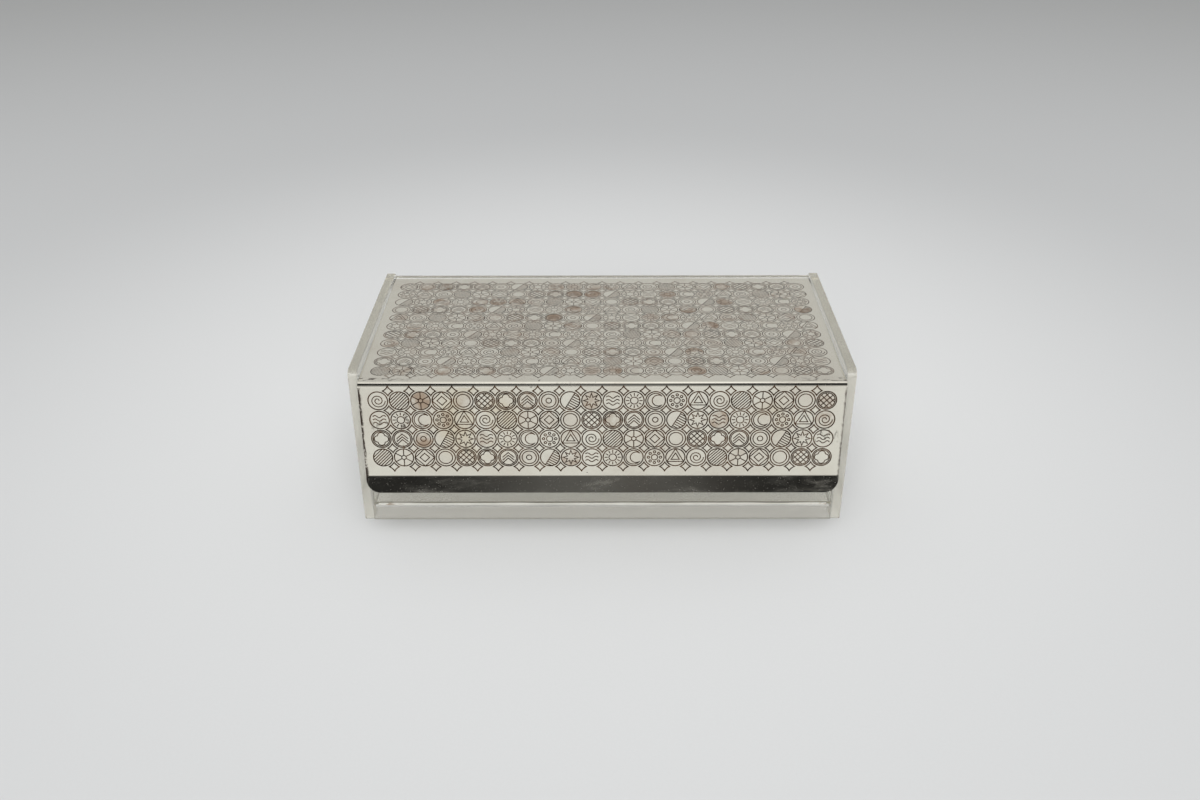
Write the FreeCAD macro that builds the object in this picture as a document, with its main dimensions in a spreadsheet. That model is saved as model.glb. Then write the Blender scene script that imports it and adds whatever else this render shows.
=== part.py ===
"""Keepsake box: a clear acrylic body with a hinged lid of bent, silver-plated sheet.

Millimetres, +Z up, +X to the right and +Y to the back, seen from the front.
The origin is the centre of the underside.
"""
import FreeCAD
import Part
import Sketcher
import math
import os

# Driving sizes, in millimetres unless they are called degrees.
SIZES = (
    # The acrylic body
    ("box_width", 200.0),
    ("box_depth", 99.0),
    ("box_height", 70.8),
    ("end_thickness", 4.0),
    ("wall_thickness", 3.0),
    ("base_thickness", 6.5),
    ("end_front_radius", 3.5),
    ("end_back_radius", 3.0),
    ("end_foot_radius", 1.0),
    ("edge_break", 0.4),
    ("front_setback", 2.0),
    ("back_drop", 2.0),
    # The bent lid
    ("lid_drop", 1.4),
    ("lid_tilt_degrees", 1.0),
    ("lid_side_gap", 0.5),
    ("lid_rest_gap", 0.2),
    ("sheet_thickness", 1.0),
    ("bend_radius", 1.0),
    ("apron_reach", 4.3),
    ("apron_length", 40.9),
    ("apron_lean_degrees", 4.0),
    ("lip_length", 7.0),
    ("lip_lean_degrees", 35.0),
    ("lip_corner_radius", 6.0),
    # The hinge along the lid's rear edge
    ("pin_radius", 1.25),
    ("pin_grip", 12.0),
    ("pin_end_break", 0.3),
    ("pin_fit", 0.05),
    ("pin_seat_fit", 0.02),
    ("hinge_gap", 0.5),
    ("curl_turn_degrees", 280.0),
    ("washer_radius", 2.2),
    ("washer_play", 0.05),
)

# Places and sizes that follow from the driving ones.
INNER_WIDTH = "(sizes.box_width - 2 * sizes.end_thickness)"
FRONT = "(-sizes.box_depth / 2)"
BACK = "(sizes.box_depth / 2)"
LID_WIDTH = f"({INNER_WIDTH} - 2 * sizes.lid_side_gap)"
TUBE_BORE = "(sizes.pin_radius + sizes.pin_fit)"
TUBE_RADIUS = f"({TUBE_BORE} + sizes.sheet_thickness)"
HINGE_Y = f"({BACK} - sizes.wall_thickness - sizes.hinge_gap - {TUBE_RADIUS})"
HINGE_Z = f"(sizes.box_height - sizes.lid_drop - {TUBE_RADIUS})"
FRONT_PANEL_FACE = f"({FRONT} + sizes.front_setback)"
BACK_PANEL_TOP = "(sizes.box_height - sizes.back_drop)"
PIN_LENGTH = "(sizes.end_thickness + sizes.lid_side_gap + sizes.pin_grip)"
WASHER_THICKNESS = "(sizes.lid_side_gap - 2 * sizes.washer_play)"

# The angle up from the back at which the lid's top leaves the roll, and the top's own lean from upright.
ROLL_DEGREES = "(90 + sizes.lid_tilt_degrees)"
TOP_LEAN_DEGREES = "(90 - sizes.lid_tilt_degrees)"

# Two points closer than this are one point.
SAME_PLACE = 1e-4

doc = FreeCAD.newDocument("keepsake_box")
sheet = doc.addObject("Spreadsheet::Sheet", "sizes")
for row, (alias, size) in enumerate(SIZES, start=1):
    sheet.set(f"A{row}", alias)
    sheet.set(f"B{row}", str(size))
    sheet.setAlias(f"B{row}", alias)
doc.recompute()

subparts = []


def number(expression):
    """The value that an expression of the sheet's sizes comes to."""
    return float(sheet.evalExpression(expression))


def on_roll(radius, degrees):
    """The place at a radius from the hinge axis, at an angle up from the back."""
    return f"({HINGE_Y} + {radius} * cos({degrees}))", f"({HINGE_Z} + {radius} * sin({degrees}))"


def lid_top_at(depth):
    """The height of the lid's top, which falls from the roll towards the front."""
    roll_depth, roll_height = on_roll(TUBE_RADIUS, ROLL_DEGREES)
    return f"({roll_height} - ({roll_depth} - {depth}) * tan(sizes.lid_tilt_degrees))"


def new_body(label, base=(None, None, None), turn_degrees=0.0):
    """A body of its own label, turned about Z and placed by up to three expressions."""
    body = doc.addObject("PartDesign::Body", label)
    body.Label = label
    body.Placement = FreeCAD.Placement(
        FreeCAD.Vector(), FreeCAD.Rotation(FreeCAD.Vector(0, 0, 1), turn_degrees)
    )
    for axis, expression in zip("xyz", base):
        if expression is not None:
            body.setExpression(f"Placement.Base.{axis}", expression)
    subparts.append(body)
    return body


def new_sketch(body, name, plane_role):
    """A sketch on one of the body's own origin planes."""
    sketch = body.newObject("Sketcher::SketchObject", name)
    plane = next(p for p in body.Origin.OriginFeatures if p.Role == plane_role)
    sketch.AttachmentSupport = [(plane, "")]
    sketch.MapMode = "FlatFace"
    return sketch


def fix_length(sketch, kind, *reference, expression):
    """Add a dimension and bind it to an expression."""
    index = sketch.addConstraint(Sketcher.Constraint(kind, *reference, number(expression)))
    sketch.setExpression(f"Constraints[{index}]", expression)


def fix_point(sketch, edge, end, place):
    """Hold a point at two expressions; None for the second puts it on the horizontal axis."""
    across, up = place
    fix_length(sketch, "DistanceX", -1, 1, edge, end, expression=across)
    if up is None:
        sketch.addConstraint(Sketcher.Constraint("PointOnObject", edge, end, -1))
    else:
        fix_length(sketch, "DistanceY", -1, 1, edge, end, expression=up)


def vector(place):
    """The sketch point at a pair of expressions."""
    across, up = place
    return FreeCAD.Vector(number(across), 0.0 if up is None else number(up), 0)


def draw_polygon(sketch, places):
    """A closed outline of straight lines through the places."""
    lines = []
    for start, end in zip(places, places[1:] + places[:1]):
        lines.append(sketch.addGeometry(Part.LineSegment(vector(start), vector(end)), False))
    for line, following, place in zip(lines, lines[1:] + lines[:1], places):
        sketch.addConstraint(Sketcher.Constraint("Coincident", line, 2, following, 1))
        fix_point(sketch, line, 1, place)


def draw_circle(sketch, radius, centre=None):
    """A circle about the sketch's origin, or about a pair of expressions."""
    middle = FreeCAD.Vector() if centre is None else vector(centre)
    ring = Part.Circle(middle, FreeCAD.Vector(0, 0, 1), number(radius))
    circle = sketch.addGeometry(ring, False)
    if centre is None:
        sketch.addConstraint(Sketcher.Constraint("Coincident", circle, 3, -1, 1))
    else:
        fix_point(sketch, circle, 3, centre)
    fix_length(sketch, "Radius", circle, expression=radius)


def add_pad(body, sketch, length):
    """Pad a sketch along its plane's normal."""
    pad = body.newObject("PartDesign::Pad", f"{body.Label}_pad")
    pad.Profile = sketch
    pad.setExpression("Length", length)
    doc.recompute()
    return pad


def edges_where(feature, test):
    """The names of the feature's edges whose middle passes the test."""
    edges = enumerate(feature.Shape.Edges, start=1)
    return [f"Edge{index}" for index, edge in edges if test(edge.CenterOfMass)]


def add_fillet(body, feature, radius, test):
    """Round the edges of a feature that pass the test."""
    fillet = body.newObject("PartDesign::Fillet", f"{body.Label}_fillet")
    fillet.Base = (feature, edges_where(feature, test))
    fillet.setExpression("Radius", radius)
    doc.recompute()
    return fillet


def beside(first, second):
    """True where two numbers are the same place."""
    return abs(first - second) < SAME_PLACE


def at_profile_point(place, length):
    """A test for the edge that a padded profile's corner leaves."""
    corner = vector(place)
    middle = number(length) / 2

    def test(point):
        on_corner = beside(point.y, corner.x) and beside(point.z, corner.y)
        return on_corner and beside(point.x, middle)

    return test


def make_end_panel(label, left):
    """An end: a sheet with rounded corners, polished edges and a seat for its hinge pin."""
    body = new_body(label, (left, None, None))
    sketch = new_sketch(body, f"{label}_outline", "YZ_Plane")
    corners = {
        "foot_front": (FRONT, None),
        "foot_back": (BACK, None),
        "top_back": (BACK, "sizes.box_height"),
        "top_front": (FRONT, "sizes.box_height"),
    }
    draw_polygon(sketch, list(corners.values()))
    draw_circle(sketch, "(sizes.pin_radius + sizes.pin_seat_fit)", (HINGE_Y, HINGE_Z))
    feature = add_pad(body, sketch, "sizes.end_thickness")
    radii = {
        "foot_front": "sizes.end_foot_radius",
        "foot_back": "sizes.end_foot_radius",
        "top_back": "sizes.end_back_radius",
        "top_front": "sizes.end_front_radius",
    }
    for corner, radius in radii.items():
        feature = add_fillet(body, feature, radius, at_profile_point(corners[corner], "sizes.end_thickness"))
    hinge = vector((HINGE_Y, HINGE_Z))
    thickness = number("sizes.end_thickness")
    seat = number("sizes.pin_radius + sizes.pin_seat_fit")

    def on_rim(point):
        on_face = beside(point.x, 0) or beside(point.x, thickness)
        return on_face and math.hypot(point.y - hinge.x, point.z - hinge.y) > seat

    add_fillet(body, feature, "sizes.edge_break", on_rim)


def make_base_plate():
    """The floor, between the ends and as deep as they are."""
    label = "base_plate"
    body = new_body(label)
    sketch = new_sketch(body, f"{label}_outline", "XY_Plane")
    left, right = f"(-{INNER_WIDTH} / 2)", f"({INNER_WIDTH} / 2)"
    draw_polygon(sketch, [(left, FRONT), (right, FRONT), (right, BACK), (left, BACK)])
    pad = add_pad(body, sketch, "sizes.base_thickness")
    front, back = number(FRONT), number(BACK)
    low, high = 0, number("sizes.base_thickness")

    def on_long_edge(point):
        at_face = beside(point.y, front) or beside(point.y, back)
        return at_face and (beside(point.z, low) or beside(point.z, high))

    add_fillet(body, pad, "sizes.edge_break", on_long_edge)


def make_wall(label, rear_face, top):
    """A wall that stands on the floor between the ends, with a polished top edge."""
    body = new_body(label, (None, rear_face, None))
    sketch = new_sketch(body, f"{label}_outline", "XZ_Plane")
    left, right = f"(-{INNER_WIDTH} / 2)", f"({INNER_WIDTH} / 2)"
    foot = "sizes.base_thickness"
    draw_polygon(sketch, [(left, foot), (right, foot), (right, top), (left, top)])
    pad = add_pad(body, sketch, "sizes.wall_thickness")
    crest = number(top)
    faces = (0, -number("sizes.wall_thickness"))

    def on_crest(point):
        return beside(point.z, crest) and any(beside(point.y, face) for face in faces)

    add_fillet(body, pad, "sizes.edge_break", on_crest)


def offset_corner(place, first_degrees, second_degrees):
    """Where the inner faces of two sheets meet that join at a place on their outer faces.

    Each sheet runs down from the place and leans forward by its own angle.
    """
    across, up = place
    mitre = f"(sizes.sheet_thickness / (1 + cos({second_degrees} - {first_degrees})))"
    inner_across = f"({across} + {mitre} * (cos({first_degrees}) + cos({second_degrees})))"
    inner_up = f"({up} - {mitre} * (sin({first_degrees}) + sin({second_degrees})))"
    return inner_across, inner_up


def run_down(place, length, lean_degrees):
    """The place that a length leads to, downwards and forward by an angle."""
    across, up = place
    return f"({across} - {length} * sin({lean_degrees}))", f"({up} - {length} * cos({lean_degrees}))"


def make_lid():
    """The lid: a top rolled into a tube at the rear, an apron in front and a lip at its foot."""
    label = "lid"
    body = new_body(label, (f"(-{LID_WIDTH} / 2)", None, None))
    sketch = new_sketch(body, f"{label}_section", "YZ_Plane")

    lean, flare = "sizes.apron_lean_degrees", "sizes.lip_lean_degrees"
    brow_depth = f"({FRONT} - sizes.apron_reach)"
    brow = (brow_depth, lid_top_at(brow_depth))
    foot = run_down(brow, "sizes.apron_length", lean)
    lip = run_down(foot, "sizes.lip_length", flare)
    lip_inside = (f"({lip[0]} + sizes.sheet_thickness * cos({flare}))",
                  f"({lip[1]} - sizes.sheet_thickness * sin({flare}))")
    foot_inside = offset_corner(foot, lean, flare)
    brow_inside = offset_corner(brow, lean, TOP_LEAN_DEGREES)
    hinge = (HINGE_Y, HINGE_Z)
    roll = on_roll(TUBE_RADIUS, ROLL_DEGREES)
    roll_inside = on_roll(TUBE_BORE, ROLL_DEGREES)

    # The straight faces, from the roll forward, round the lip and back to the roll.
    places = [roll, brow, foot, lip, lip_inside, foot_inside, brow_inside, roll_inside]
    lines = []
    for start, end in zip(places, places[1:]):
        lines.append(sketch.addGeometry(Part.LineSegment(vector(start), vector(end)), False))
    for line, following in zip(lines, lines[1:]):
        sketch.addConstraint(Sketcher.Constraint("Coincident", line, 2, following, 1))
    for line, place in zip(lines, places):
        fix_point(sketch, line, 1, place)
    fix_point(sketch, lines[-1], 2, roll_inside)

    # The rolled edge: two arcs about the hinge axis, closed by the sheet's end.
    end_degrees = f"({ROLL_DEGREES} - sizes.curl_turn_degrees)"
    arcs = []
    for radius in (TUBE_RADIUS, TUBE_BORE):
        circle = Part.Circle(vector(hinge), FreeCAD.Vector(0, 0, 1), number(radius))
        start, end = math.radians(number(end_degrees)), math.radians(number(ROLL_DEGREES))
        arcs.append(sketch.addGeometry(Part.ArcOfCircle(circle, start, end), False))
    outer_arc, inner_arc = arcs
    fix_point(sketch, outer_arc, 3, hinge)
    sketch.addConstraint(Sketcher.Constraint("Coincident", inner_arc, 3, outer_arc, 3))
    sketch.addConstraint(Sketcher.Constraint("Coincident", outer_arc, 2, lines[0], 1))
    sketch.addConstraint(Sketcher.Constraint("Coincident", inner_arc, 2, lines[-1], 2))
    end_line = [on_roll(radius, end_degrees) for radius in (TUBE_RADIUS, TUBE_BORE)]
    closing = sketch.addGeometry(Part.LineSegment(*map(vector, end_line)), False)
    for end, arc in ((1, outer_arc), (2, inner_arc)):
        sketch.addConstraint(Sketcher.Constraint("Coincident", closing, end, arc, 1))
        fix_length(sketch, "DistanceY", -1, 1, closing, end, expression=end_line[end - 1][1])

    # The bends, and the lip's round corners.
    feature = add_pad(body, sketch, LID_WIDTH)
    outer_bend = "(sizes.bend_radius + sizes.sheet_thickness)"
    bends = {
        brow: outer_bend,
        brow_inside: "sizes.bend_radius",
        foot: "sizes.bend_radius",
        foot_inside: outer_bend,
    }
    for place, radius in bends.items():
        feature = add_fillet(body, feature, radius, at_profile_point(place, LID_WIDTH))
    tip = (vector(lip) + vector(lip_inside)) / 2
    width = number(LID_WIDTH)

    def at_lip_corner(point):
        on_tip = beside(point.y, tip.x) and beside(point.z, tip.y)
        return on_tip and (beside(point.x, 0) or beside(point.x, width))

    flat_lip = f"(sizes.lip_length - {outer_bend} * tan(({flare} - {lean}) / 2))"
    corner = f"min(sizes.lip_corner_radius; {flat_lip} - sizes.edge_break)"
    add_fillet(body, feature, corner, at_lip_corner)


def make_pin(label, outer_face, turn_degrees):
    """A hinge pin, from the outer face of its end into the rolled edge."""
    body = new_body(label, (outer_face, HINGE_Y, HINGE_Z), turn_degrees)
    sketch = new_sketch(body, f"{label}_section", "YZ_Plane")
    draw_circle(sketch, "sizes.pin_radius")
    pad = add_pad(body, sketch, PIN_LENGTH)
    rim = body.newObject("PartDesign::Chamfer", f"{label}_chamfer")
    ends = (0, number(PIN_LENGTH))
    rim.Base = (pad, edges_where(pad, lambda point: any(beside(point.x, end) for end in ends)))
    rim.setExpression("Size", "sizes.pin_end_break")
    doc.recompute()


def make_washer(label, left):
    """A thin washer on the pin, between the rolled edge and the end."""
    body = new_body(label, (left, HINGE_Y, HINGE_Z))
    sketch = new_sketch(body, f"{label}_section", "YZ_Plane")
    draw_circle(sketch, "sizes.washer_radius")
    draw_circle(sketch, TUBE_BORE)
    add_pad(body, sketch, WASHER_THICKNESS)


make_base_plate()
lid_underside = f"({lid_top_at(FRONT_PANEL_FACE)} - sizes.sheet_thickness / cos(sizes.lid_tilt_degrees))"
front_panel_top = f"({lid_underside} - sizes.lid_rest_gap)"
make_wall("front_panel", f"({FRONT_PANEL_FACE} + sizes.wall_thickness)", front_panel_top)
make_wall("back_panel", BACK, BACK_PANEL_TOP)
make_end_panel("left_end_panel", "(-sizes.box_width / 2)")
make_end_panel("right_end_panel", "(sizes.box_width / 2 - sizes.end_thickness)")
make_lid()
make_pin("left_hinge_pin", "(-sizes.box_width / 2)", 0.0)
make_pin("right_hinge_pin", "(sizes.box_width / 2)", 180.0)
make_washer("left_hinge_washer", f"(-{INNER_WIDTH} / 2 + sizes.washer_play)")
make_washer("right_hinge_washer", f"({INNER_WIDTH} / 2 - sizes.washer_play - {WASHER_THICKNESS})")
doc.recompute()

for item in doc.Objects:
    faults = {"Invalid", "Error"} & set(item.State)
    if faults:
        raise RuntimeError(f"{item.Label} is {faults}")
for body in subparts:
    if body.Shape.isNull() or not body.Shape.isValid():
        raise RuntimeError(f"{body.Label} has no valid shape")

os.makedirs("parts", exist_ok=True)
for body in subparts:
    body.Shape.exportStep(f"parts/{body.Label}.step")
    box = body.Shape.BoundBox
    print(f"{body.Label}: {len(body.Shape.Solids)} solid, {body.Shape.Volume:.1f} mm3,", box)
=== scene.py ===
"""Looks of a clear acrylic keepsake box with a hinged lid of engraved silver plate. Metres."""

import math

import bpy
from mathutils import Matrix, Vector


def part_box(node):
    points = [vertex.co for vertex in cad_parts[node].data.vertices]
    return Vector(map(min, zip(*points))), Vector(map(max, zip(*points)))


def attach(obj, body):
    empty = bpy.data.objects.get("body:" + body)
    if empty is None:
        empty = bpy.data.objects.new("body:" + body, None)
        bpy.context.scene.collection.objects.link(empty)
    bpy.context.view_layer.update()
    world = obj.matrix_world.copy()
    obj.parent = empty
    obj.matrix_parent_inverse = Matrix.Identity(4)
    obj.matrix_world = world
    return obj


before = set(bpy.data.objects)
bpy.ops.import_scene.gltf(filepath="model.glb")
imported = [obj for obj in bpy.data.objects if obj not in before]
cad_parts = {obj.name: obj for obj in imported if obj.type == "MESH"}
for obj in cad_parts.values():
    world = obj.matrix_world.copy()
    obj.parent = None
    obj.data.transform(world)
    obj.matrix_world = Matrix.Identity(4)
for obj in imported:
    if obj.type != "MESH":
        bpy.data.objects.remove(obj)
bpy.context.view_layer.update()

MM = 0.001

# Camera, fitted to the end panels' corners and the lid's edges in the picture
CAMERA_PLACE = Vector((0.04, -441.98, 280.37)) * MM
CAMERA_DOWN_DEGREES = 29.555
CAMERA_LEFT_DEGREES = 0.133
CAMERA_ROLL_DEGREES = -0.134
CAMERA_LENS = 34.125
CAMERA_SENSOR = 36.0

# Faces of the lid that carry the ornament: the top falls forward from the hinge to the brow
TOP_FALL = math.radians(1)
APRON_LEAN = math.radians(4)
APRON_REACH = 4.3 * MM
LID_LOW, LID_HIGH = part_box("lid")
PIN_LOW, PIN_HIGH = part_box("left_hinge_pin")
HINGE_Y = (PIN_LOW.y + PIN_HIGH.y) / 2
BROW_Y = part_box("left_end_panel")[0].y - APRON_REACH
BROW_Z = LID_HIGH.z - (HINGE_Y - BROW_Y) * math.tan(TOP_FALL)
# What lies less than this below the brow counts as the top
BROW_DROP = 1.9 * MM

# Lattice of roundels, with rows that run back from the brow on the top and up to it on the apron
COLUMNS = 22
COLUMN_PITCH = 8.38 * MM
TOP_ROWS = 11
TOP_ROW_PITCH = 7.866 * MM
TOP_FIRST_ROW = 10.18 * MM
APRON_ROWS = 4
APRON_ROW_PITCH = 8.408 * MM
APRON_FIRST_ROW = -32.66 * MM

# Shares of half a cell
ROUNDEL_SHARE = 0.92
FIELD_SHARE = 0.78
INNER_FIGURE_SHARE = ROUNDEL_SHARE / 2
STAR_SHARE = 1.127

# Engraved lines
TOP_OUTLINE, TOP_STROKE = 0.30 * MM, 0.26 * MM
APRON_OUTLINE, APRON_STROKE = 0.48 * MM, 0.40 * MM
LINE_PROUD = 0.012 * MM
LINE_DEPTH = 0.12 * MM
LEAST_MITRE_SHARE = 0.4
NO_LENGTH = 1e-6
RING_SIDES = 28
HUB_SIDES = 14
STAR_STEPS = 4
ORIGIN = (0.0, 0.0)
SLANT_DEGREES = 45


# Strokes of the ornament: each is a list of points in a cell that spans -1 to 1, and whether it closes


def polar(radius, degrees):
    angle = math.radians(degrees)
    return radius * math.cos(angle), radius * math.sin(angle)


def arc(centre, radius, start, end, steps):
    """Points from one angle to another, in degrees."""
    points = []
    for step in range(steps + 1):
        across, up = polar(radius, start + (end - start) * step / steps)
        points.append((centre[0] + across, centre[1] + up))
    return points


def ring(radius, centre=ORIGIN, sides=RING_SIDES):
    return arc(centre, radius, 0, 360, sides)[:-1], True


def polygon(radius, corners, turn):
    return arc(ORIGIN, radius, turn, turn + 360, corners)[:-1], True


def spoke(inner, outer, degrees):
    return [polar(inner, degrees), polar(outer, degrees)], False


def chord(offset, degrees, radius):
    """A straight line across the roundel, offset from its middle."""
    half = math.sqrt(radius ** 2 - offset ** 2)
    across = Vector(polar(1.0, degrees))
    middle = Vector((-across.y, across.x)) * offset
    return [tuple(middle - across * half), tuple(middle + across * half)], False


def chords(count, reach, degrees, radius):
    """Evenly spaced parallel lines between -reach and +reach."""
    return [chord(reach * (2 * i / (count - 1) - 1), degrees, radius) for i in range(count)]


def plain_ring():
    ring_share = 0.66
    return [ring(ring_share)]


def six_spokes():
    hub_share = 0.22
    spokes = [spoke(hub_share, ROUNDEL_SHARE, degrees) for degrees in range(30, 390, 60)]
    return spokes + [ring(hub_share, sides=HUB_SIDES)]


def chevrons():
    half_width, fall, rise = 0.56, 0.30, 0.22
    lines = []
    for level in (-0.30, 0.0, 0.30):
        line = [(-half_width, level - fall), (0.0, level + rise), (half_width, level - fall)]
        lines.append((line, False))
    return lines + [ring(FIELD_SHARE)]


def slanted_lines():
    count, reach = 7, 0.66
    return chords(count, reach, SLANT_DEGREES, ROUNDEL_SHARE)


def slanted_lattice():
    count, reach = 3, 0.4
    one_way = chords(count, reach, SLANT_DEGREES, FIELD_SHARE)
    other_way = chords(count, reach, SLANT_DEGREES + 90, FIELD_SHARE)
    return one_way + other_way + [ring(FIELD_SHARE)]


def quatrefoil():
    petal_share, petal_steps = 0.34, 10
    petals = []
    for turn in range(0, 360, 90):
        centre = polar(petal_share, turn)
        petals.append((arc(centre, petal_share, turn - 90, turn + 90, petal_steps), False))
    return petals + [ring(FIELD_SHARE)]


def eight_point_star():
    corners, tip_share, notch_share = 16, 0.76, 0.36
    points = []
    for corner in range(corners):
        radius = tip_share if corner % 2 == 0 else notch_share
        points.append(polar(radius, 360 / corners * corner))
    return [(points, True)]


def target():
    ring_share, hub_share = 0.68, 0.26
    return [ring(ring_share), ring(hub_share, sides=HUB_SIDES)]


def nested_triangles():
    return [polygon(ROUNDEL_SHARE, 3, 90), polygon(INNER_FIGURE_SHARE, 3, 90)]


def waves():
    half_width, height, swing_degrees, steps = 0.62, 0.12, 540, 12
    lines = []
    for level in (-0.36, 0.0, 0.36):
        points = []
        for step in range(steps + 1):
            across = half_width * (2 * step / steps - 1)
            points.append((across, level + height * math.sin(math.radians(swing_degrees * step / steps))))
        lines.append((points, False))
    return lines


def crescents():
    outer_share, inner_share, inner_centre = 0.74, 0.57, (0.25, 0.0)
    outer = arc(ORIGIN, outer_share, 40, 320, 20)
    inner = arc(inner_centre, inner_share, 303, 57, 16)
    return [(outer + inner, True)]


def nested_lozenges():
    return [polygon(ROUNDEL_SHARE, 4, 0), polygon(INNER_FIGURE_SHARE, 4, 0)]


def sunburst():
    ray_foot_share, disc_share, disc_sides = 0.48, 0.36, 18
    rays = [spoke(ray_foot_share, FIELD_SHARE, degrees) for degrees in range(0, 360, 30)]
    return rays + [ring(disc_share, sides=disc_sides)]


def half_lined():
    turn, line_step, lines_each_side = 60, 0.24, 3
    lines = [spoke(0.0, ROUNDEL_SHARE, turn), spoke(0.0, ROUNDEL_SHARE, turn + 180)]
    across = Vector(polar(1.0, turn))
    aside = Vector((across.y, -across.x))
    for step in range(-lines_each_side, lines_each_side + 1):
        along = line_step * step
        reach = math.sqrt(ROUNDEL_SHARE ** 2 - along ** 2)
        lines.append(([tuple(across * along), tuple(across * along + aside * reach)], False))
    return lines


def ring_of_beads():
    bead_share, circle_share, bead_sides = 0.12, 0.58, 8
    hub_share, hub_sides = 0.3, 16
    beads = [ring(bead_share, polar(circle_share, degrees), bead_sides) for degrees in range(0, 360, 45)]
    return beads + [ring(hub_share, sides=hub_sides)]


def spiral():
    start_share, growth, turn_degrees, steps = 0.12, 0.58, 720, 40
    points = []
    for step in range(steps + 1):
        points.append(polar(start_share + growth * step / steps, turn_degrees * step / steps))
    return [(points, False)]


MOTIFS = [
    slanted_lines, six_spokes, nested_lozenges, plain_ring, slanted_lattice, quatrefoil, chevrons, target,
    half_lined, eight_point_star, waves, sunburst, crescents, ring_of_beads, nested_triangles, spiral,
]
MOTIF_STEP_BY_ROW = 5


def star():
    """The concave four-pointed figure left between four roundels."""
    reach = math.degrees(math.asin(1 / STAR_SHARE))
    points = []
    for turn in range(0, 360, 90):
        centre = polar(math.sqrt(2), turn + 45)
        side = arc(centre, STAR_SHARE, turn + 180 + reach, turn + 270 - reach, STAR_STEPS)
        points.extend(side[:-1])
    return points, True


def make_object(name, points, faces, material):
    mesh = bpy.data.meshes.new(name)
    mesh.from_pydata(points, [], faces)
    mesh.validate()
    mesh.update()
    mesh.materials.append(material)
    made = bpy.data.objects.new(name, mesh)
    bpy.context.scene.collection.objects.link(made)
    return made


class Relief:
    """Thin bars that follow lines on one flat face of the lid."""

    def __init__(self, place):
        self.place = place
        self.points = []
        self.faces = []

    def add_bar(self, line, closed, width):
        count = len(line)
        first = len(self.points)
        for i, point in enumerate(line):
            before = line[i - 1] if closed or i > 0 else point
            after = line[(i + 1) % count] if closed or i < count - 1 else point
            self.add_section(point, mitre(before, point, after) * (width / 2))
        for i in range(count if closed else count - 1):
            here = first + 4 * i
            there = first + 4 * ((i + 1) % count)
            for side in range(4):
                other = (side + 1) % 4
                self.faces.append((here + side, here + other, there + other, there + side))
        if not closed:
            last = first + 4 * (count - 1)
            self.faces.append((first + 3, first + 2, first + 1, first))
            self.faces.append((last, last + 1, last + 2, last + 3))

    def add_section(self, point, aside):
        left = Vector(point) + aside
        right = Vector(point) - aside
        upper = (left, LINE_PROUD), (right, LINE_PROUD)
        lower = (right, -LINE_DEPTH), (left, -LINE_DEPTH)
        for corner, level in upper + lower:
            self.points.append(self.place @ Vector((corner.x, corner.y, level)))

    def add_figure(self, strokes, middle, half_cell, width):
        for points, closed in strokes:
            line = [(middle.x + x * half_cell.x, middle.y + y * half_cell.y) for x, y in points]
            self.add_bar(line, closed, width)


def mitre(before, point, after):
    """The way to the left of a line at one of its points, longer at a corner."""
    ahead = (Vector(after) - Vector(point)) if after != point else (Vector(point) - Vector(before))
    behind = (Vector(point) - Vector(before)) if before != point else ahead
    along = ahead.normalized() + behind.normalized()
    along = along.normalized() if along.length > NO_LENGTH else ahead.normalized()
    aside = Vector((-along.y, along.x))
    side = Vector((-behind.y, behind.x)).normalized()
    return aside / max(aside.dot(side), LEAST_MITRE_SHARE)


def make_engraving(name, place, rows, first_row, row_pitch, widths, material):
    """A lattice of roundels with a star between each four, on one face of the lid."""
    relief = Relief(place)
    outline, stroke = widths
    half_cell = Vector((COLUMN_PITCH / 2, row_pitch / 2))
    left = -COLUMN_PITCH * (COLUMNS - 1) / 2
    for row in range(rows):
        for column in range(COLUMNS):
            middle = Vector((left + COLUMN_PITCH * column, first_row + row_pitch * row))
            motif = MOTIFS[(column + MOTIF_STEP_BY_ROW * row) % len(MOTIFS)]
            relief.add_figure([ring(ROUNDEL_SHARE)], middle, half_cell, outline)
            relief.add_figure(motif(), middle, half_cell, stroke)
    for row in range(rows + 1):
        for column in range(COLUMNS - 1):
            middle = Vector((left + COLUMN_PITCH * (column + 0.5), first_row + row_pitch * (row - 0.5)))
            relief.add_figure([star()], middle, half_cell, outline)
    made = make_object(name, relief.points, relief.faces, material)
    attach(made, "lid")


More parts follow.
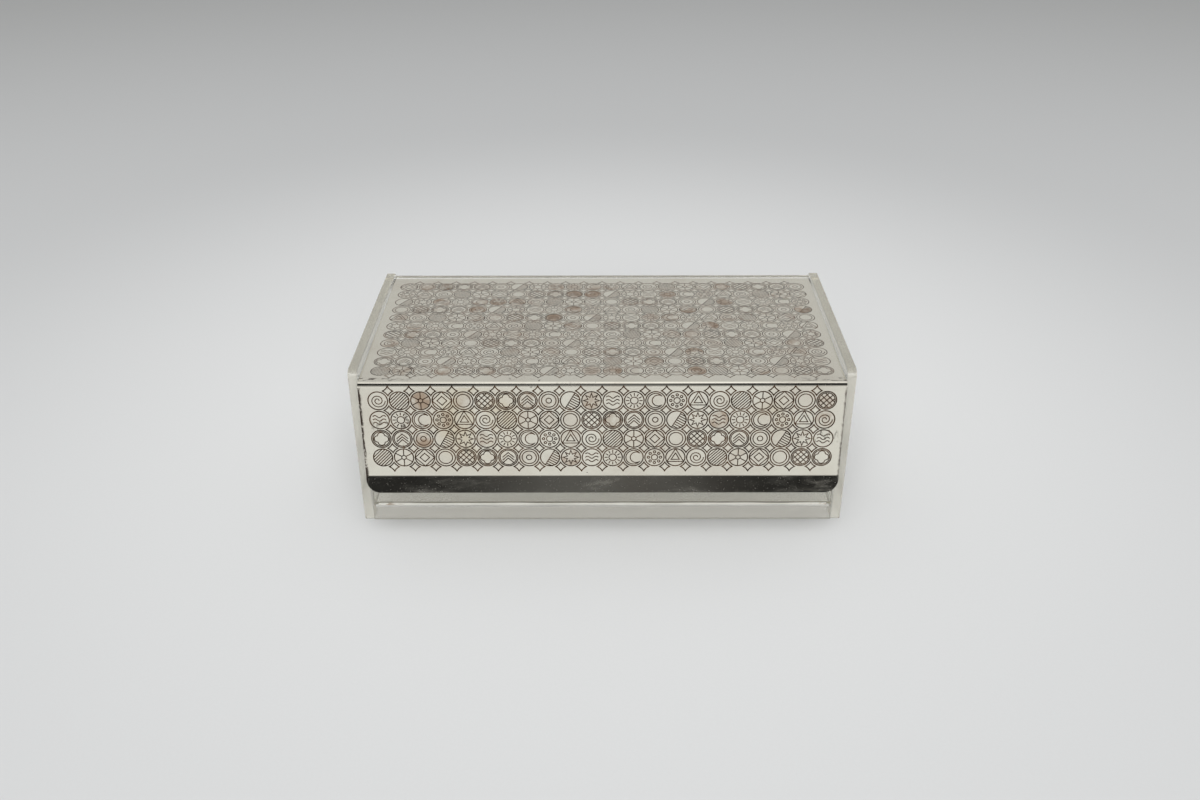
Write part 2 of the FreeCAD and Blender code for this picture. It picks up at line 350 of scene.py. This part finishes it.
class Graph:
    """Short calls for building a node tree."""

    def __init__(self, tree):
        self.tree = tree
        tree.nodes.clear()

    def node(self, kind, inputs=None, **settings):
        made = self.tree.nodes.new(kind)
        for name, value in settings.items():
            setattr(made, name, value)
        for name, value in (inputs or {}).items():
            self.feed(made.inputs[name], value)
        return made

    def feed(self, socket, value):
        if isinstance(value, bpy.types.NodeSocket):
            self.tree.links.new(value, socket)
        else:
            socket.default_value = value

    def place(self):
        return self.node("ShaderNodeTexCoord").outputs["Object"]

    def facing(self):
        return self.node("ShaderNodeTexCoord").outputs["Normal"]

    def split(self, vector):
        return self.node("ShaderNodeSeparateXYZ", {"Vector": vector}).outputs

    def math(self, operation, first, second=0.0):
        made = self.node("ShaderNodeMath", {0: first, 1: second}, operation=operation)
        return made.outputs["Value"]

    def total(self, first, *others):
        for other in others:
            first = self.math("ADD", first, other)
        return first

    def product(self, first, *others):
        for other in others:
            first = self.math("MULTIPLY", first, other)
        return first

    def most(self, first, *others):
        for other in others:
            first = self.math("MAXIMUM", first, other)
        return first

    def distance(self, aside, above):
        """Length of the slope over two legs at right angles."""
        squares = self.total(self.math("POWER", aside, 2.0), self.math("POWER", above, 2.0))
        return self.math("SQRT", squares)

    def fade(self, value, low, high):
        """0 below low and 1 above high, smooth between. Low may lie above high."""
        inputs = {"Value": value, "From Min": low, "From Max": high}
        made = self.node("ShaderNodeMapRange", inputs, interpolation_type="SMOOTHSTEP")
        return made.outputs["Result"]

    def span(self, value, low, high):
        """A share from 0 to 1 turned into a value between low and high."""
        inputs = {"Value": value, "To Min": low, "To Max": high}
        return self.node("ShaderNodeMapRange", inputs).outputs["Result"]

    def noise(self, place, scale, detail=3.0, roughness=0.5):
        """The scale is one number, or one for each axis."""
        if isinstance(scale, tuple):
            place = self.node("ShaderNodeMapping", {"Vector": place, "Scale": scale}).outputs["Vector"]
            scale = 1.0
        inputs = {"Vector": place, "Scale": scale, "Detail": detail, "Roughness": roughness}
        return self.node("ShaderNodeTexNoise", inputs).outputs["Fac"]

    def patches(self, place, noise, limits):
        """Where a noise passes from its lower limit to its upper one."""
        return self.fade(self.noise(place, *noise), *limits)

    def mix(self, share, first, second):
        made = self.node("ShaderNodeMix", {0: share, 2: first, 3: second})
        return made.outputs[0]

    def blend(self, share, first, second):
        """A mix of two colours."""
        made = self.node("ShaderNodeMix", data_type="RGBA")
        self.feed(made.inputs[0], share)
        self.feed(made.inputs[6], first)
        self.feed(made.inputs[7], second)
        return made.outputs[2]

    def bump(self, height, strength, distance):
        inputs = {"Height": height, "Strength": strength, "Distance": distance}
        return self.node("ShaderNodeBump", inputs).outputs["Normal"]

    def principled(self, inputs):
        return self.node("ShaderNodeBsdfPrincipled", inputs).outputs["BSDF"]

    def overlay(self, share, shader, other):
        return self.node("ShaderNodeMixShader", {0: share, 1: shader, 2: other}).outputs["Shader"]

    def finish(self, shader):
        self.node("ShaderNodeOutputMaterial", {"Surface": shader})


def new_material(name):
    material = bpy.data.materials.new(name)
    material.use_nodes = True
    return material, Graph(material.node_tree)


# Silver plate. A noise is its scale, detail and roughness; limits are where a share starts and is full.
CLEAN_SILVER = (0.89, 0.86, 0.755, 1.0)
WARM_TARNISH = (0.45, 0.325, 0.23, 1.0)
GOLDEN_TARNISH = (0.76, 0.66, 0.46, 1.0)
DARK_MARKS = (0.07, 0.05, 0.04, 1.0)
# Where the plate is stained most: place along the lid, depth or height, reach, and the strongest share
GOLDEN_SPOTS = [(-50 * MM, 52 * MM, 24 * MM, 0.65), (66 * MM, 52 * MM, 12 * MM, 0.45)]
DARK_APRON_SPOTS = [(-81 * MM, 47 * MM, 15 * MM, 0.75), (88 * MM, 46 * MM, 9 * MM, 0.7)]
DARK_TOP_SPOTS = [(-79 * MM, -43 * MM, 12 * MM, 0.7), (-26 * MM, -43 * MM, 20 * MM, 0.7)]
SPOT_CORE_SHARE = 1 / 3
GOLDEN_NOISE, GOLDEN_LIMITS = (75.0, 4.0, 0.6), (0.34, 0.62)
CRUST_NOISE, CRUST_LIMITS = ((420.0, 420.0, 170.0), 5.0, 0.7), (0.57, 0.64)
# Warm stains in the roundels: distance from the middle in cells, and the chance that a roundel is stained
STAIN_REACH = 0.46, 0.40
STAIN_CHANCE = 0.45, 1.0
BLOTCH_NOISE, BLOTCH_LIMITS = (120.0, 4.0, 0.65), (0.36, 0.66)
STAIN_STRENGTH = 0.9
HAZE_NOISE, HAZE_LIMITS = (22.0, 5.0, 0.62), (0.44, 0.75)
HAZE_STRENGTH = 0.26
# Dark ragged lines down the apron's sides, measured in from the lid's ends
LEFT_EDGE_LIMITS = 1.3 * MM, 0.5 * MM
RIGHT_EDGE_LIMITS = 0.9 * MM, -0.2 * MM
RAGGED_NOISE, RAGGED_REACH = (420.0, 4.0, 0.7), 2.4 * MM
BROKEN_NOISE, BROKEN_LIMITS = (210.0, 4.0, 0.7), (0.40, 0.52)
# Flecks behind the ends of the brow, measured from the middle and back from the brow
FLECK_ALONG_LIMITS = 70 * MM, 92 * MM
FLECK_BACK_LIMITS = 5.0 * MM, 3.6 * MM
FLECK_FRONT_LIMITS = 1.5 * MM, 2.2 * MM
FLECK_NOISE, FLECK_LIMITS = ((380.0, 950.0, 950.0), 4.0, 0.65), (0.50, 0.57)
SPECK_NOISE, SPECK_LIMITS = (900.0, 2.0, 0.5), (0.71, 0.78)
SPECK_STRENGTH = 0.5
# Wear of the flat faces, and smudges and dust on the bends, which face partly upward
SCRATCH_NOISE = (90.0, 1400.0, 1400.0), 2.0, 0.6
GRAIN_NOISE = 700.0, 3.0, 0.6
SMUDGE_NOISE, SMUDGE_LIMITS = ((40.0, 130.0, 130.0), 6.0, 0.72), (0.42, 0.86)
DUST_NOISE, DUST_LIMITS = (1700.0, 2.0, 0.6), (0.62, 0.74)
DUST_STRENGTH = 0.7
BEND_LOW_LIMITS = 0.10, 0.18
BEND_HIGH_LIMITS = 0.998, 0.98
FLAT_ROUGHNESS = 0.12, 0.34
BEND_ROUGHNESS = 0.06, 0.46
DARK_MARK_ROUGHNESS = 0.3
# Unevenness of the sheet
SWELL_NOISE = 45.0, 2.0, 0.5
WEAR_HEIGHT_SHARE = 0.02
SHEET_BUMP = 0.06, 0.4 * MM


class LidPlace:
    """Where a point lies on the lid, as sockets of a node tree."""

    def __init__(self, graph):
        facing = graph.split(graph.facing())
        self.place = graph.place()
        self.x, self.y, self.z = graph.split(self.place)
        self.up = facing["Z"]
        self.outer = graph.math("GREATER_THAN", facing["Z"], facing["Y"])
        self.on_top = graph.math("GREATER_THAN", self.z, BROW_Z - BROW_DROP)
        self.on_apron = graph.math("SUBTRACT", 1.0, self.on_top)


def spots(graph, along, across, places):
    """The strongest of several soft round spots."""
    shares = []
    for middle, level, reach, strength in places:
        aside = graph.math("SUBTRACT", along, middle)
        above = graph.math("SUBTRACT", across, level)
        spot = graph.fade(graph.distance(aside, above), reach, reach * SPOT_CORE_SHARE)
        shares.append(graph.product(spot, strength))
    return graph.most(*shares)


def lattice_place(graph, lid):
    """Columns and rows of the lattice, counted in cells from its lower left corner."""
    columns = graph.total(graph.math("DIVIDE", lid.x, COLUMN_PITCH), COLUMNS / 2)
    back = graph.math("SUBTRACT", lid.y, BROW_Y + TOP_FIRST_ROW)
    down = graph.math("DIVIDE", graph.math("SUBTRACT", lid.z, BROW_Z), math.cos(APRON_LEAN))
    top_rows = graph.math("DIVIDE", back, TOP_ROW_PITCH)
    apron_rows = graph.math("DIVIDE", graph.math("SUBTRACT", down, APRON_FIRST_ROW), APRON_ROW_PITCH)
    rows = graph.total(graph.mix(lid.on_top, apron_rows, top_rows), 0.5)
    return columns, rows


def roundel_stain(graph, lid):
    """Warm tarnish that fills some of the roundels."""
    columns, rows = lattice_place(graph, lid)
    row_count = graph.mix(lid.on_top, float(APRON_ROWS), float(TOP_ROWS))
    cell = graph.node("ShaderNodeCombineXYZ", {
        "X": graph.math("FLOOR", columns), "Y": graph.math("FLOOR", rows), "Z": lid.on_top,
    }).outputs["Vector"]
    chance = graph.node("ShaderNodeTexWhiteNoise", {"Vector": cell}).outputs["Value"]
    aside = graph.math("SUBTRACT", graph.math("FRACT", columns), 0.5)
    above = graph.math("SUBTRACT", graph.math("FRACT", rows), 0.5)
    stain = graph.product(graph.fade(graph.distance(aside, above), *STAIN_REACH), lid.outer)
    for value, count in ((columns, float(COLUMNS)), (rows, row_count)):
        past_start = graph.math("GREATER_THAN", value, 0.0)
        before_end = graph.math("LESS_THAN", value, count)
        stain = graph.product(stain, past_start, before_end)
    blotch = graph.patches(lid.place, BLOTCH_NOISE, BLOTCH_LIMITS)
    return graph.product(stain, graph.fade(chance, *STAIN_CHANCE), blotch, STAIN_STRENGTH)


def golden_stain(graph, lid):
    golden = graph.product(spots(graph, lid.x, lid.z, GOLDEN_SPOTS), lid.on_apron, lid.outer)
    return graph.product(golden, graph.patches(lid.place, GOLDEN_NOISE, GOLDEN_LIMITS))


def apron_side_lines(graph, lid):
    """Ragged dark lines down both sides of the apron."""
    ragged = graph.math("SUBTRACT", graph.noise(lid.place, *RAGGED_NOISE), 0.5)
    along = graph.total(lid.x, graph.product(ragged, RAGGED_REACH))
    left = graph.fade(along, *[LID_LOW.x + limit for limit in LEFT_EDGE_LIMITS])
    left = graph.product(left, graph.patches(lid.place, BROKEN_NOISE, BROKEN_LIMITS))
    right = graph.fade(along, *[LID_HIGH.x - limit for limit in RIGHT_EDGE_LIMITS])
    return graph.product(graph.most(left, right), lid.on_apron)


def brow_flecks(graph, lid):
    along = graph.fade(graph.math("ABSOLUTE", lid.x), *FLECK_ALONG_LIMITS)
    back = graph.fade(lid.y, *[BROW_Y + limit for limit in FLECK_BACK_LIMITS])
    front = graph.fade(lid.y, *[BROW_Y + limit for limit in FLECK_FRONT_LIMITS])
    flecks = graph.patches(lid.place, FLECK_NOISE, FLECK_LIMITS)
    return graph.product(along, back, front, flecks, lid.on_top)


def dark_crusts(graph, lid):
    on_apron = graph.product(spots(graph, lid.x, lid.z, DARK_APRON_SPOTS), lid.on_apron)
    on_top = graph.product(spots(graph, lid.x, lid.y, DARK_TOP_SPOTS), lid.on_top)
    crusts = graph.patches(lid.place, CRUST_NOISE, CRUST_LIMITS)
    return graph.product(crusts, graph.most(on_apron, on_top), lid.outer)


def dark_marks(graph, lid):
    specks = graph.product(graph.patches(lid.place, SPECK_NOISE, SPECK_LIMITS), SPECK_STRENGTH)
    return graph.most(apron_side_lines(graph, lid), specks, brow_flecks(graph, lid), dark_crusts(graph, lid))


def plate_roughness(graph, lid, worn, dark):
    smudge = graph.patches(lid.place, SMUDGE_NOISE, SMUDGE_LIMITS)
    dust = graph.product(graph.patches(lid.place, DUST_NOISE, DUST_LIMITS), DUST_STRENGTH)
    bend_rough = graph.span(graph.most(smudge, dust), *BEND_ROUGHNESS)
    on_bend = graph.product(graph.fade(lid.up, *BEND_LOW_LIMITS), graph.fade(lid.up, *BEND_HIGH_LIMITS))
    rough = graph.mix(on_bend, graph.span(worn, *FLAT_ROUGHNESS), bend_rough)
    return graph.total(rough, graph.product(dark, DARK_MARK_ROUGHNESS))


def silver_plate():
    material, graph = new_material("silver_plate")
    lid = LidPlace(graph)
    haze = graph.product(graph.patches(lid.place, HAZE_NOISE, HAZE_LIMITS), HAZE_STRENGTH)
    warm = graph.most(roundel_stain(graph, lid), haze)
    dark = dark_marks(graph, lid)
    colour = graph.blend(golden_stain(graph, lid), CLEAN_SILVER, GOLDEN_TARNISH)
    colour = graph.blend(warm, colour, WARM_TARNISH)
    # Dark marks: crusts, specks and flecks, and the dark lines down the apron's sides
    colour = graph.blend(dark, colour, DARK_MARKS)
    grain = graph.product(graph.noise(lid.place, *GRAIN_NOISE), 0.5)
    scratches = graph.product(graph.noise(lid.place, *SCRATCH_NOISE), 0.5)
    worn = graph.total(grain, scratches)
    height = graph.total(graph.product(worn, WEAR_HEIGHT_SHARE), graph.noise(lid.place, *SWELL_NOISE))
    graph.finish(graph.principled({
        "Base Color": colour, "Metallic": 1.0, "Roughness": plate_roughness(graph, lid, worn, dark),
        "Normal": graph.bump(height, *SHEET_BUMP),
    }))
    return material


# Darkest and palest shade of the engraved lines, which are rubbed on the top
DEEP_LINES = (0.020, 0.009, 0.003, 1.0), (0.075, 0.040, 0.019, 1.0)
RUBBED_LINES = (0.024, 0.014, 0.009, 1.0), (0.125, 0.080, 0.053, 1.0)
RUBBED_NOISE, RUBBED_LIMITS = (260.0, 3.0, 0.6), (0.35, 0.68)
LINE_NOISE = 1500.0, 2.0
LINE_ROUGHNESS = 0.4, 0.75
DULL_SPECULAR = 0.1


def engraved_line(name, shades):
    material, graph = new_material(name)
    place = graph.place()
    colour = graph.blend(graph.patches(place, RUBBED_NOISE, RUBBED_LIMITS), *shades)
    rough = graph.span(graph.noise(place, *LINE_NOISE), *LINE_ROUGHNESS)
    graph.finish(graph.principled({
        "Base Color": colour, "Metallic": 0.0, "Roughness": rough, "Specular IOR Level": DULL_SPECULAR,
    }))
    return material


# Acrylic. Upward edges are tinted darker and warmer than the others: painted shade. Edges by the floor are
# darker still: a painted contact shadow.
ACRYLIC_IOR = 1.49
TOP_EDGE_SHADE = (0.71, 0.68, 0.57, 1.0)
FOOT_CONTACT_SHADOW = (0.55, 0.53, 0.45, 1.0)
EDGE_FACING_LIMITS = 0.8, 0.4
UPWARD_LIMITS = 0.5, 0.9
CONTACT_SHADOW_LIMITS = 1.2 * MM, 0.3 * MM
SCUFF_NOISE, SCUFF_LIMITS = ((220.0, 220.0, 900.0), 4.0, 0.7), (0.5, 0.8)
SCUFF_BUMP = 0.02, 0.1 * MM
FACE_ROUGHNESS = 0.03, 0.12
SAWN_NOISE = 500.0, 3.0
EDGE_ROUGHNESS = 0.16, 0.30
# Tints of the shadow that thin and thick sheets cast
PALE_SHADOW = (0.91, 0.91, 0.895, 1.0)
DEEP_SHADOW = (0.70, 0.69, 0.655, 1.0)
# Axis that the faces look along, clearness, and tints of the faces, the edges and the shadow of each sheet
SHEETS = {
    "end": ("X", 0.72, (0.975, 0.97, 0.935, 1.0), (0.89, 0.865, 0.775, 1.0), PALE_SHADOW),
    # The front sheet's faces are tinted darker than the other sheets': painted shade of the lid over the
    # inside of the box, seen through it
    "front": ("Y", 0.94, (0.86, 0.85, 0.80, 1.0), (0.90, 0.87, 0.78, 1.0), PALE_SHADOW),
    "back": ("Y", 0.78, (0.955, 0.95, 0.915, 1.0), (0.97, 0.965, 0.94, 1.0), PALE_SHADOW),
    "base": ("Z", 0.80, (0.975, 0.97, 0.93, 1.0), (0.92, 0.895, 0.82, 1.0), DEEP_SHADOW),
}


def clear_acrylic(sheet):
    """Polished sheet with sawn edges round it. Light passes through it to what lies behind."""
    axis, clearness, face_tint, edge_tint, shadow_tint = SHEETS[sheet]
    material, graph = new_material("clear_acrylic_" + sheet)
    place = graph.place()
    facing = graph.split(graph.facing())
    edge = graph.fade(graph.math("ABSOLUTE", facing[axis]), *EDGE_FACING_LIMITS)
    scuffs = graph.noise(place, *SCUFF_NOISE)
    face_rough = graph.span(graph.fade(scuffs, *SCUFF_LIMITS), *FACE_ROUGHNESS)
    edge_rough = graph.span(graph.noise(place, *SAWN_NOISE), *EDGE_ROUGHNESS)
    # Painted shade: upward-facing edges tinted darker and warmer
    edge_tint = graph.blend(graph.fade(facing["Z"], *UPWARD_LIMITS), edge_tint, TOP_EDGE_SHADE)
    # Painted contact shadow: edges within a millimetre of the floor tinted darker
    edge_tint = graph.blend(graph.fade(graph.split(place)["Z"], *CONTACT_SHADOW_LIMITS), edge_tint, FOOT_CONTACT_SHADOW)
    shader = graph.principled({
        "Base Color": graph.blend(edge, face_tint, edge_tint),
        "Roughness": graph.mix(edge, face_rough, edge_rough),
        "IOR": ACRYLIC_IOR, "Transmission Weight": clearness, "Normal": graph.bump(scuffs, *SCUFF_BUMP),
    })
    for ray in ("Is Shadow Ray", "Is Diffuse Ray"):
        passing = graph.node("ShaderNodeBsdfTransparent", {"Color": shadow_tint}).outputs["BSDF"]
        shader = graph.overlay(graph.node("ShaderNodeLightPath").outputs[ray], shader, passing)
    graph.finish(shader)
    return material


# Drawn steel of the pins and nylon of the washers: noise, two shades, roughness and bump
DRAWN_NOISE = (60.0, 2600.0, 2600.0), 3.0, 0.6
STEEL_SHADES = (0.42, 0.41, 0.39, 1.0), (0.66, 0.65, 0.62, 1.0)
STEEL_ROUGHNESS = 0.2, 0.42
STEEL_BUMP = 0.1, 0.05 * MM
NYLON_NOISE = 2600.0, 3.0, 0.6
NYLON_SHADES = (0.02, 0.02, 0.021, 1.0), (0.05, 0.048, 0.046, 1.0)
NYLON_ROUGHNESS = 0.45, 0.65
NYLON_BUMP = 0.15, 0.05 * MM


def pin_steel():
    material, graph = new_material("pin_steel")
    drawn = graph.noise(graph.place(), *DRAWN_NOISE)
    graph.finish(graph.principled({
        "Base Color": graph.blend(drawn, *STEEL_SHADES), "Metallic": 1.0,
        "Roughness": graph.span(drawn, *STEEL_ROUGHNESS), "Normal": graph.bump(drawn, *STEEL_BUMP),
    }))
    return material


def dark_nylon():
    material, graph = new_material("dark_nylon")
    grain = graph.noise(graph.place(), *NYLON_NOISE)
    graph.finish(graph.principled({
        "Base Color": graph.blend(grain, *NYLON_SHADES),
        "Roughness": graph.span(grain, *NYLON_ROUGHNESS), "Normal": graph.bump(grain, *NYLON_BUMP),
    }))
    return material


def dress_nodes():
    end_sheet = clear_acrylic("end")
    silver = silver_plate()
    steel = pin_steel()
    nylon = dark_nylon()
    finishes = {
        "base_plate": clear_acrylic("base"),
        "front_panel": clear_acrylic("front"),
        "back_panel": clear_acrylic("back"),
        "left_end_panel": end_sheet,
        "right_end_panel": end_sheet,
        "lid": silver,
        "left_hinge_pin": steel,
        "right_hinge_pin": steel,
        "left_hinge_washer": nylon,
        "right_hinge_washer": nylon,
    }
    for name, finish in finishes.items():
        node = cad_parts[name]
        node.data.materials.clear()
        node.data.materials.append(finish)


def make_ornament():
    deep_line = engraved_line("engraved_line", DEEP_LINES)
    rubbed_line = engraved_line("rubbed_line", RUBBED_LINES)
    brow = Matrix.Translation((0.0, BROW_Y, BROW_Z))
    top_place = brow @ Matrix.Rotation(TOP_FALL, 4, "X")
    apron_place = brow @ Matrix.Rotation(math.pi / 2 - APRON_LEAN, 4, "X")
    top_lines = TOP_OUTLINE, TOP_STROKE
    apron_lines = APRON_OUTLINE, APRON_STROKE
    top_rows = TOP_ROWS, TOP_FIRST_ROW, TOP_ROW_PITCH
    apron_rows = APRON_ROWS, APRON_FIRST_ROW, APRON_ROW_PITCH
    make_engraving("engraving_top", top_place, *top_rows, top_lines, rubbed_line)
    make_engraving("engraving_apron", apron_place, *apron_rows, apron_lines, deep_line)


# A pale bead in the joint between the front panel's foot and the base: a painted highlight of the base's
# front edge
BEAD_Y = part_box("front_panel")[0].y
BEAD_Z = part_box("base_plate")[1].z
BEAD_HALF_LENGTH = 94 * MM
BEAD_RADIUS = 0.55 * MM
BEAD_WAVER_SHARE = 0.3
QUICK_WAVER, SLOW_WAVER, SLOW_WAVER_START = 37, 11, 1
BEAD_STEPS = 96
BEAD_SIDES = 4
# Pale shades of the bead: a painted highlight
HIGHLIGHT_SHADES = (0.62, 0.61, 0.56, 1.0), (0.84, 0.83, 0.78, 1.0)
BEAD_NOISE = 160.0, 3.0, 0.6
BEAD_ROUGHNESS = 0.25, 0.5
BEAD_BUMP = 0.1, 0.1 * MM
# Brown dirt near the ends of the bead, measured from the middle
BEAD_END_DIRT = (0.22, 0.13, 0.07, 1.0)
DIRT_NOISE, DIRT_LIMITS = (330.0, 4.0, 0.7), (0.50, 0.60)
DIRT_ALONG_LIMITS = 82 * MM, 93 * MM


def painted_highlight():
    material, graph = new_material("painted_highlight")
    place = graph.place()
    along = graph.math("ABSOLUTE", graph.split(place)["X"])
    near_ends = graph.fade(along, *DIRT_ALONG_LIMITS)
    dirt = graph.product(graph.patches(place, DIRT_NOISE, DIRT_LIMITS), near_ends)
    clouds = graph.noise(place, *BEAD_NOISE)
    # Painted highlight: the bead's pale colour
    pale_highlight = graph.blend(clouds, *HIGHLIGHT_SHADES)
    graph.finish(graph.principled({
        "Base Color": graph.blend(dirt, pale_highlight, BEAD_END_DIRT),
        "Roughness": graph.span(clouds, *BEAD_ROUGHNESS), "Normal": graph.bump(clouds, *BEAD_BUMP),
    }))
    return material


def bead_section(share):
    """A quarter round in the corner of panel and base, at a share of the bead's length."""
    waver = math.sin(QUICK_WAVER * share) * math.sin(SLOW_WAVER * share + SLOW_WAVER_START)
    radius = BEAD_RADIUS * (1 + BEAD_WAVER_SHARE * waver)
    x = BEAD_HALF_LENGTH * (2 * share - 1)
    curve = arc(ORIGIN, radius, 0, 90, BEAD_SIDES)
    return [(x, BEAD_Y, BEAD_Z)] + [(x, BEAD_Y - out, BEAD_Z + up) for out, up in curve]


def make_highlight_bead():
    size = len(bead_section(0.0))
    points = []
    faces = []
    for step in range(BEAD_STEPS + 1):
        points.extend(bead_section(step / BEAD_STEPS))
    for step in range(BEAD_STEPS):
        here = step * size
        there = here + size
        for side in range(size):
            other = (side + 1) % size
            faces.append((here + side, here + other, there + other, there + side))
    last = BEAD_STEPS * size
    faces.append(tuple(range(size - 1, -1, -1)))
    faces.append(tuple(range(last, last + size)))
    bead = make_object("highlight_bead", points, faces, painted_highlight())
    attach(bead, "body")


# Tones of the floor, from behind the box outwards, darker with distance: painted fall-off of the light
FLOOR_HALF = 6.0
NEAR_FLOOR = (0.785, 0.793, 0.793, 1.0)
MIDDLE_FLOOR = (0.622, 0.630, 0.632, 1.0)
FAR_FLOOR = (0.55, 0.557, 0.552, 1.0)
FLOOR_CENTRE = Vector((0.0, 0.12, 0.0))
NEAR_FLOOR_REACH = 0.10
MIDDLE_FLOOR_REACH = 0.45
FAR_FLOOR_REACH = 1.5
# The paper fades out beyond its far tone, into the plain tone of the world at the horizon
FLOOR_END_REACH = 3.5
FLOOR_NOISE, FLOOR_RAGGED_REACH = (900.0, 2.0), 0.03
FLOOR_ROUGHNESS = 0.85


def floor_paper():
    material, graph = new_material("floor_paper")
    place = graph.place()
    measure = graph.node("ShaderNodeVectorMath", {0: place, 1: FLOOR_CENTRE}, operation="DISTANCE")
    ragged = graph.product(graph.noise(place, *FLOOR_NOISE), FLOOR_RAGGED_REACH)
    away = graph.total(measure.outputs["Value"], ragged)
    # Painted fall-off of light: the floor's colour darkens away from the box
    colour = graph.blend(graph.fade(away, NEAR_FLOOR_REACH, MIDDLE_FLOOR_REACH), NEAR_FLOOR, MIDDLE_FLOOR)
    colour = graph.blend(graph.fade(away, MIDDLE_FLOOR_REACH, FAR_FLOOR_REACH), colour, FAR_FLOOR)
    paper = graph.principled({
        "Base Color": colour, "Roughness": FLOOR_ROUGHNESS, "Specular IOR Level": DULL_SPECULAR,
    })
    gone = graph.node("ShaderNodeBsdfTransparent").outputs["BSDF"]
    graph.finish(graph.overlay(graph.fade(away, FAR_FLOOR_REACH, FLOOR_END_REACH), paper, gone))
    return material


def make_floor():
    corners = [
        (-FLOOR_HALF, -FLOOR_HALF, 0), (FLOOR_HALF, -FLOOR_HALF, 0),
        (FLOOR_HALF, FLOOR_HALF, 0), (-FLOOR_HALF, FLOOR_HALF, 0),
    ]
    floor = make_object("floor", corners, [(0, 1, 2, 3)], floor_paper())


# Soft boxes: name, width, depth, place and power; each looks at the box and stays out of reflections
LAMPS = [
    ("top_soft_box", 1.4, 0.6, Vector((0.0, -0.55, 1.55)), 6.5),
    ("front_fill", 2.2, 1.4, Vector((0.0, -2.2, 1.5)), 54.0),
]


def make_lamp(name, width, depth, place, power):
    light = bpy.data.lights.new(name, "AREA")
    light.shape = "RECTANGLE"
    light.size = width
    light.size_y = depth
    light.energy = power
    lamp = bpy.data.objects.new(name, light)
    lamp.location = place
    lamp.rotation_mode = "QUATERNION"
    lamp.rotation_quaternion = (-place).to_track_quat("-Z", "Y")
    lamp.visible_glossy = False
    bpy.context.scene.collection.objects.link(lamp)


# The world: a plain light, and what is added to it over a span of height, which is 0 level and 1 overhead
WHITE = (1.0, 1.0, 1.0, 1.0)
PLAIN_LIGHT = 0.32
CEILING_LIGHT, CEILING_LIMITS = 0.24, (0.62, 0.90)
ZENITH_LIGHT, ZENITH_LIMITS = 0.55, (0.955, 0.985)
HORIZON_LIGHT, HORIZON_LIMITS = 0.27, (0.30, 0.10)
# Light from behind the box, over a span of the way back and of height
BACK_LIGHT, BACK_LIMITS, BACK_HEIGHT_LIMITS = 0.225, (0.1, 0.5), (0.10, 0.35)
# The dark end of the room in front, over spans of the way forward, height and the way aside
DARK_FORWARD_LIMITS = -0.08, -0.26
DARK_LOW_LIMITS = 0.46, 0.55
DARK_HIGH_LIMITS = 0.985, 0.955
DARK_MIDDLE_LIMITS = 0.16, 0.02
DARK_SIDE_SHARE, DARK_MIDDLE_SHARE = 0.935, 0.70


def room_darkness(graph, x, y, z):
    """The share of light that the dark end of the room takes away."""
    forward = graph.fade(y, *DARK_FORWARD_LIMITS)
    height = graph.product(graph.fade(z, *DARK_LOW_LIMITS), graph.fade(z, *DARK_HIGH_LIMITS))
    middle = graph.fade(graph.math("ABSOLUTE", x), *DARK_MIDDLE_LIMITS)
    return graph.product(forward, height, graph.span(middle, DARK_SIDE_SHARE, DARK_MIDDLE_SHARE))


def make_world():
    world = bpy.data.worlds.new("studio")
    world.use_nodes = True
    bpy.context.scene.world = world
    graph = Graph(world.node_tree)
    x, y, z = graph.split(graph.node("ShaderNodeTexCoord").outputs["Generated"])
    ceiling = graph.product(graph.fade(z, *CEILING_LIMITS), CEILING_LIGHT)
    zenith = graph.product(graph.fade(z, *ZENITH_LIMITS), ZENITH_LIGHT)
    horizon = graph.product(graph.fade(z, *HORIZON_LIMITS), HORIZON_LIGHT)
    back = graph.product(graph.fade(y, *BACK_LIMITS), graph.fade(z, *BACK_HEIGHT_LIMITS), BACK_LIGHT)
    light = graph.total(ceiling, horizon, back, zenith, PLAIN_LIGHT)
    light = graph.product(light, graph.math("SUBTRACT", 1.0, room_darkness(graph, x, y, z)))
    studio = graph.node("ShaderNodeBackground", {"Color": WHITE, "Strength": light})
    graph.node("ShaderNodeOutputWorld", {"Surface": studio.outputs["Background"]})


def make_camera():
    data = bpy.data.cameras.new("camera")
    data.lens = CAMERA_LENS
    data.sensor_width = CAMERA_SENSOR
    camera = bpy.data.objects.new("camera", data)
    aim = Matrix.Rotation(math.radians(CAMERA_LEFT_DEGREES), 4, "Z")
    aim = aim @ Matrix.Rotation(math.radians(90 - CAMERA_DOWN_DEGREES), 4, "X")
    aim = aim @ Matrix.Rotation(math.radians(CAMERA_ROLL_DEGREES), 4, "Z")
    camera.matrix_world = Matrix.Translation(CAMERA_PLACE) @ aim
    bpy.context.scene.collection.objects.link(camera)
    bpy.context.scene.camera = camera


dress_nodes()
make_ornament()
make_highlight_bead()
make_floor()
for lamp in LAMPS:
    make_lamp(*lamp)
make_world()
make_camera()
bpy.context.scene.view_settings.view_transform = "Standard"
